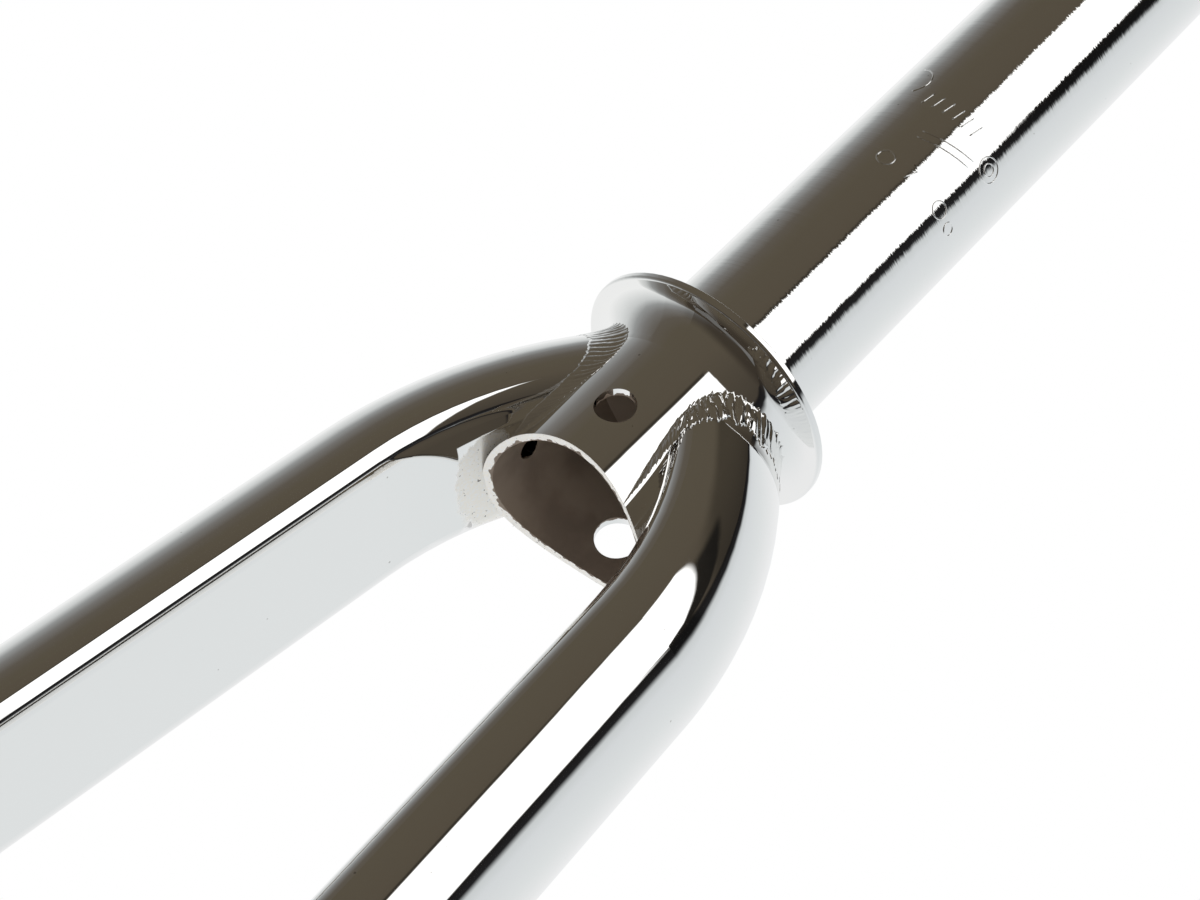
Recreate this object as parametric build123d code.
from build123d import *
import math
import os

os.makedirs("parts", exist_ok=True)

# A bare BMX front fork. Frame: origin on the steerer axis at the top face of
# the race flange, +Z up the steerer, +X forward, +Y along the wheel axle.
# All sizes are in millimetres.

# ---- steerer: one machined piece from tube top to brake-bolt crown ----
STEERER_OD = 28.575          # 1-1/8 in steerer
STEERER_ID = 24.0
STEERER_TOP = 165.0
TOP_CHAMFER = 0.8
RACE_R = 17.3                # foot of the 45 degree bearing seat
SEAT_R = 15.0                # short pilot above the seat
SEAT_H = 3.0
FLANGE_OD = 45.0
FLANGE_T = 1.3
FLANGE_ROUND = 0.5           # rounding of the rim's lower edge
FLANGE_BREAK = 0.15          # the same on its top edge
BODY_OD = 32.0               # lower body, below the flange
BODY_BORE = 29.2
BORE_TOP = -8.0              # where the wide lower bore ends
BORE_NECK = 4.0              # height of the cone between the two bores
ARCH_R = 33.3                # tyre arch milled across the foot of the body
ARCH_Z = -64.0
BRAKE_HOLE_D = 6.5           # front wall, clears a 6 mm bolt
BRAKE_NUT_D = 8.0            # rear wall, clears the recessed nut
BRAKE_HOLE_Z = -21.9         # where the bolt's axis meets the steerer axis
BRAKE_HOLE_TILT = 3.0        # degrees, front end up
VENT_D = 4.0                 # bleeds the leg tubes into the bore
VENT_Z = -25.5

# ---- legs: tube bent at the crown and pressed flat towards the tyre, ----
# ---- which spreads it a little fore and aft ----
LEG_HALF_WIDTH = 12.7
LEG_HALF_DEPTH = 14.1        # fore and aft
LEG_FLAT = 4.4               # flat, measured from the tube axis
LEG_WALL = 1.8
LEG_CORNER = 3.8             # rounding where the flat meets the round
LEG_Y0 = 7.25                # leg axis where it would meet LEG_Z0
LEG_Z0 = -12.0
LEG_X0 = -0.45
LEG_STUB = 8.0               # straight run back into the body
LEG_BEND_R = 68.2
LEG_ANGLE_TOP = 41.3         # degrees out from straight down
LEG_ANGLE_LOW = 4.6
LEG_LEAN = 6.55              # degrees forward, gives the rake
LEG_STRAIGHT = 104.0         # full-size run below the bend
LEG_END_HALF = 9.5           # half width and half depth at the lower end
LEG_END_FLAT = 7.6
LEG_END_WALL = 1.5

# ---- dropouts ----
HUB_WIDTH = 100.0            # between the two dropouts
DROPOUT_T = 6.0
AXLE_Z = -315.0
LEG_END_UP = 17.0            # leg end above the axle
LEG_END_OUT = 1.5            # leg end axis outside the hub face
AXLE_SLOT = 9.8              # for a 3/8 in axle
DROPOUT_R = 15.0
DROPOUT_END = 11.0           # axle centre to the open end
DROPOUT_TAB_W = 13.0
DROPOUT_TAB_UP = 18.0        # tab length up inside the leg
DROPOUT_EDGE = 0.8

# ---- weld beads ----
BEAD_OVER = 1.0              # bead's height over the leg tube
BEAD_REACH = 4.5             # bead's reach out from the body
CAP_H = 4.5                  # domed weld that closes the leg end

LEG_END_Z = AXLE_Z + LEG_END_UP
LEG_END_Y = HUB_WIDTH / 2 + LEG_END_OUT

lean = math.radians(LEG_LEAN)
down = Vector(math.sin(lean), 0, -math.cos(lean))   # down the leg, side view


def ring(r_out, z0, z1):
    """Solid cylinder on the steerer axis between two heights."""
    return Pos(0, 0, (z0 + z1) / 2) * Cylinder(r_out, z1 - z0)


def body_profile(grow):
    """Half section of the body and its cove, grown outwards by `grow`."""
    cove = (FLANGE_OD - BODY_OD) / 2 - grow
    r, top = BODY_OD / 2 + grow, -FLANGE_T - grow
    rim = r + cove
    mid = Vector(rim - cove * math.sin(math.pi / 4), 0,
                 top - cove + cove * math.cos(math.pi / 4))
    line = Polyline((0, 0, -50), (r, 0, -50), (r, 0, top - cove))
    arc = ThreePointArc((r, 0, top - cove), mid, (rim, 0, top))
    close = Polyline((rim, 0, top), (rim, 0, 0), (0, 0, 0), (0, 0, -50))
    return revolve(make_face(line.edges() + arc.edges() + close.edges()),
                   Axis.Z)


def arch(grow=0.0):
    """Fore-and-aft tyre arch under the body."""
    return (Pos(0, 0, ARCH_Z) * Rot(0, 90, 0)
            * Cylinder(ARCH_R - grow, 3 * BODY_OD))


def flange_edges(solid):
    """Circles round the flange's rim, lowest first."""
    circles = solid.edges().filter_by(GeomType.CIRCLE)
    return circles.filter_by(
        lambda edge: abs(edge.radius - FLANGE_OD / 2) < 0.001).sort_by(Axis.Z)


# ---- steerer ----
seat_cone = Pos(0, 0, (RACE_R - SEAT_R) / 2) * Cone(RACE_R, SEAT_R,
                                                     RACE_R - SEAT_R)
seat_top = RACE_R - SEAT_R + SEAT_H
outer_body = body_profile(0.0)
steerer = outer_body + seat_cone + ring(SEAT_R, 0, seat_top)
tube = ring(STEERER_OD / 2, -1, STEERER_TOP)
tube = chamfer(tube.edges().group_by(Axis.Z)[-1], TOP_CHAMFER)
steerer = steerer + tube
steerer -= ring(BODY_BORE / 2, -60, BORE_TOP)
steerer -= (Pos(0, 0, BORE_TOP + BORE_NECK / 2)
            * Cone(BODY_BORE / 2, STEERER_ID / 2, BORE_NECK))
steerer -= ring(STEERER_ID / 2, BORE_TOP, STEERER_TOP + 1)
steerer -= arch()
bolt_axis = Pos(0, 0, BRAKE_HOLE_Z) * Rot(0, 90 - BRAKE_HOLE_TILT, 0)
for diameter, way in ((BRAKE_HOLE_D, 1), (BRAKE_NUT_D, -1)):
    steerer -= (bolt_axis * Pos(0, 0, way * BODY_OD / 2)
                * Cylinder(diameter / 2, BODY_OD))
steerer -= (Pos(0, 0, VENT_Z) * Rot(90, 0, 0)
            * Cylinder(VENT_D / 2, 2 * BODY_OD))
for end, radius in ((0, FLANGE_ROUND), (-1, FLANGE_BREAK)):
    steerer = fillet(flange_edges(steerer)[end], radius)
export_step(steerer, "parts/steerer.step")


# ---- legs ----
def leg_point(y, t):
    """Point in the leaning plane of the legs: y out, t down from LEG_Z0."""
    return Vector(LEG_X0, y, LEG_Z0) + down * t


def leg_section(centre, angle, half_width, half_depth, flat, grow):
    """D section square to the leg, flat side towards the other leg."""
    out = Vector(0, 1, 0)
    along = down * math.cos(angle) + out * math.sin(angle)
    inward = down * math.sin(angle) - out * math.cos(angle)
    oval = Ellipse(half_depth + grow, half_width + grow, rotation=90)
    beyond = 4 * half_depth
    face = oval - Pos(flat + grow + beyond / 2, 0) * Rectangle(beyond, beyond)
    face = fillet(face.vertices(), LEG_CORNER + grow)
    return Plane(centre, x_dir=inward, z_dir=along) * face


a_top, a_low = math.radians(LEG_ANGLE_TOP), math.radians(LEG_ANGLE_LOW)
a_mid = (a_top + a_low) / 2


def bend_point(a):
    return leg_point(LEG_Y0 + LEG_BEND_R * (math.cos(a) - math.cos(a_top)),
                     LEG_BEND_R * (math.sin(a_top) - math.sin(a)))


leg_start = leg_point(LEG_Y0 - LEG_STUB * math.sin(a_top),
                      -LEG_STUB * math.cos(a_top))
leg_dir = down * math.cos(a_low) + Vector(0, 1, 0) * math.sin(a_low)
straight_end = bend_point(a_low) + leg_dir * LEG_STRAIGHT
leg_end = leg_point(LEG_END_Y, (LEG_Z0 - LEG_END_Z) / math.cos(lean))
taper_run = leg_end - straight_end
a_end = math.atan2(taper_run.Y, math.hypot(taper_run.X, taper_run.Z))

leg_path = (Line(leg_start, bend_point(a_top))
            + ThreePointArc(bend_point(a_top), bend_point(a_mid),
                            bend_point(a_low))
            + Line(bend_point(a_low), straight_end))


def leg_solid(grow_top, grow_end):
    """Leg volume with its section grown (or shrunk) by the given amounts."""
    full = (LEG_HALF_WIDTH, LEG_HALF_DEPTH, LEG_FLAT, grow_top)
    upper = leg_section(leg_start, a_top, *full)
    joint = leg_section(straight_end, a_low, *full)
    lower = leg_section(leg_end, a_end, LEG_END_HALF, LEG_END_HALF,
                        LEG_END_FLAT, grow_end)
    return sweep(upper, path=leg_path) + loft([joint, lower], ruled=True)


leg_envelope = outer_body - arch()
leg = (leg_solid(0, 0) - leg_solid(-LEG_WALL, -LEG_END_WALL)
       - leg_envelope)
leg = leg.solids().sort_by(SortBy.VOLUME)[-1]

# ---- dropout: flat plate, slot open downwards, tab up inside the leg ----
axle = leg_point(HUB_WIDTH / 2, (LEG_Z0 - AXLE_Z) / math.cos(lean))
plate_plane = Plane(axle, x_dir=down, z_dir=(0, 1, 0))
end_u = -(leg_end.Z - AXLE_Z) / math.cos(lean)      # leg end, seen from axle
tab = (Pos(end_u + (CAP_H - DROPOUT_TAB_UP) / 2, 0)
       * Rectangle(DROPOUT_TAB_UP + CAP_H, DROPOUT_TAB_W))
shoulder = Pos(end_u + CAP_H + 0.5, 0) * Rectangle(1, DROPOUT_TAB_W)
outline = make_hull((shoulder + Circle(DROPOUT_R)).edges()) + tab
outline -= Pos(DROPOUT_END + DROPOUT_R, 0) * Rectangle(2 * DROPOUT_R,
                                                       3 * DROPOUT_R)
plate = extrude(plate_plane * outline, DROPOUT_T)
faces = plate.faces().sort_by(Axis.Y)
plate = chamfer(faces[0].edges() + faces[-1].edges(), DROPOUT_EDGE)
slot = (Circle(AXLE_SLOT / 2)
        + Pos(DROPOUT_R, 0) * Rectangle(2 * DROPOUT_R, AXLE_SLOT))
dropout = plate - extrude(plate_plane * slot, DROPOUT_T)
leg -= dropout

# ---- welds ----
bead_body = body_profile(BEAD_REACH) - arch()
crown_weld = (leg_solid(BEAD_OVER, BEAD_OVER) & bead_body) - leg_envelope
crown_weld -= leg_solid(0, 0)
crown_weld = crown_weld.solids().sort_by(SortBy.VOLUME)[-1]

cap_plane = Plane(leg_end, x_dir=(0, 1, 0),
                  z_dir=down * math.cos(a_end)
                  + Vector(0, 1, 0) * math.sin(a_end))
cap_r = (LEG_END_HALF ** 2 + CAP_H ** 2) / (2 * CAP_H)
dome = Pos(0, 0, CAP_H - cap_r) * Sphere(cap_r)
dome -= Pos(0, 0, -cap_r) * Box(4 * cap_r, 4 * cap_r, 2 * cap_r)
trim = extrude(leg_section(leg_end, a_end, LEG_END_HALF, LEG_END_HALF,
                           LEG_END_FLAT, 0), CAP_H + 1)
end_weld = ((cap_plane * dome) & trim) - dropout

# ---- the left half is built; the right half is its mirror image ----
for node, solid in (("leg", leg), ("dropout", dropout),
                    ("crown_weld", crown_weld), ("dropout_weld", end_weld)):
    export_step(solid, f"parts/{node}_left.step")
    export_step(solid.mirror(Plane.XZ), f"parts/{node}_right.step")
